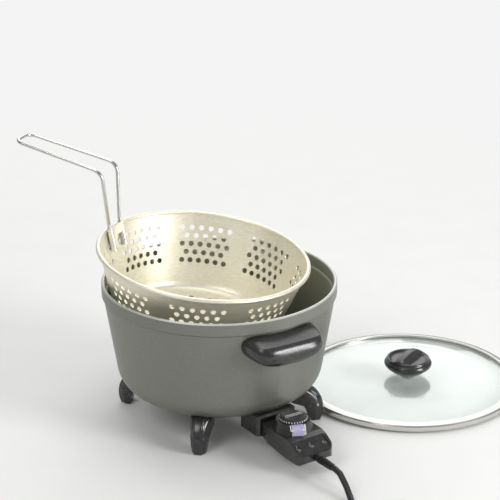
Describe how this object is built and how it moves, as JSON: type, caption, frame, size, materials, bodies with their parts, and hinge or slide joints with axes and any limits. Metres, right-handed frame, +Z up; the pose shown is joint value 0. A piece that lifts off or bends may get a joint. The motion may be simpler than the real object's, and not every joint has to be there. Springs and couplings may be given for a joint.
{
  "type": "soup kettle",
  "caption": "Electric soup kettle: round pot on splayed legs, hooked perforated basket with wire handle, glass lid with knob, and plug-in heat control with cord.",
  "frame": {"origin": "on the pot's upright axis at table level", "axes": "+Z up along the pot's axis, +X towards the heat control, side handles on +X and -X"},
  "size_m": [0.6079, 0.4886, 0.2943],
  "materials": {
    "coated_cast_aluminium": "satin metallic nonstick coating on cast aluminium",
    "element_sheath": "drawn metal sheath",
    "ceramic": "unglazed ceramic",
    "plated_pin": "plated",
    "black_phenolic": "moulded phenolic, gloss",
    "screw_steel": "plated steel",
    "bracket_steel": "pressed steel",
    "bare_aluminium": "satin, uncoated",
    "wire_steel": "bright drawn wire",
    "clear_glass": "clear, tempered",
    "rim_steel": "rolled stainless steel",
    "seal_rubber": "matte",
    "lens_plastic": "translucent, tinted",
    "lamp_glass": "clear glow lamp",
    "brass": "bare",
    "cord_rubber": "satin jacket"
  },
  "bodies": {
    "kettle": {"pot": "coated_cast_aluminium", "heating_element": "element_sheath", "terminal_insulators": "ceramic", "terminal_pins": "plated_pin", "control_guard": "black_phenolic", "guard_screws": "screw_steel", "handle_right": "black_phenolic", "handle_left": "black_phenolic", "handle_bracket_right": "bracket_steel", "handle_bracket_left": "bracket_steel", "handle_screws": "screw_steel", "leg_front_right": "black_phenolic", "leg_back_right": "black_phenolic", "leg_back_left": "black_phenolic", "leg_front_left": "black_phenolic", "leg_screws": "screw_steel"},
    "basket": {"basket_shell": "bare_aluminium", "basket_bracket": "bare_aluminium", "basket_hook": "bare_aluminium", "basket_rivets": "bare_aluminium"},
    "wire_handle": {"basket_handle": "wire_steel"},
    "lid": {"lid_glass": "clear_glass", "lid_rim": "rim_steel", "lid_knob": "black_phenolic", "knob_seat": "seal_rubber", "knob_screw": "screw_steel"},
    "heat_control": {"control_cover": "black_phenolic", "control_base": "black_phenolic", "pilot_lens": "lens_plastic", "pilot_lamp": "lamp_glass", "probe": "element_sheath", "control_contacts": "brass", "thermostat_frame": "bracket_steel", "bimetal_blade": "brass", "cover_screws": "screw_steel", "cord_strain_relief": "cord_rubber", "power_cord": "cord_rubber", "cord_coil": "cord_rubber", "cord_tie": "cord_rubber", "plug_body": "cord_rubber", "plug_blades": "brass"},
    "dial": {"control_dial": "black_phenolic", "dial_spindle": "screw_steel"}
  },
  "joints": [
    {"name": "basket_lift", "type": "slide", "parent": "kettle", "child": "basket", "axis": [0, 0, 1], "range_m": [0, 0.2]},
    {"name": "wire_handle_release", "type": "slide", "parent": "basket", "child": "wire_handle", "axis": [-0.1769, -0.1149, 0.9775], "range_m": [0, 0.04]},
    {"name": "lid_lift", "type": "slide", "parent": "kettle", "child": "lid", "axis": [0.198, 0.6831, 0.7029], "range_m": [0, 0.15]},
    {"name": "control_pull", "type": "slide", "parent": "kettle", "child": "heat_control", "axis": [1, 0, 0], "range_m": [0, 0.08]},
    {"name": "dial_turn", "type": "hinge", "parent": "heat_control", "child": "dial", "pos_m": [0.144, 0, 0.0484], "axis": [0, 0, -1], "range_deg": [0, 300]}
  ]
}
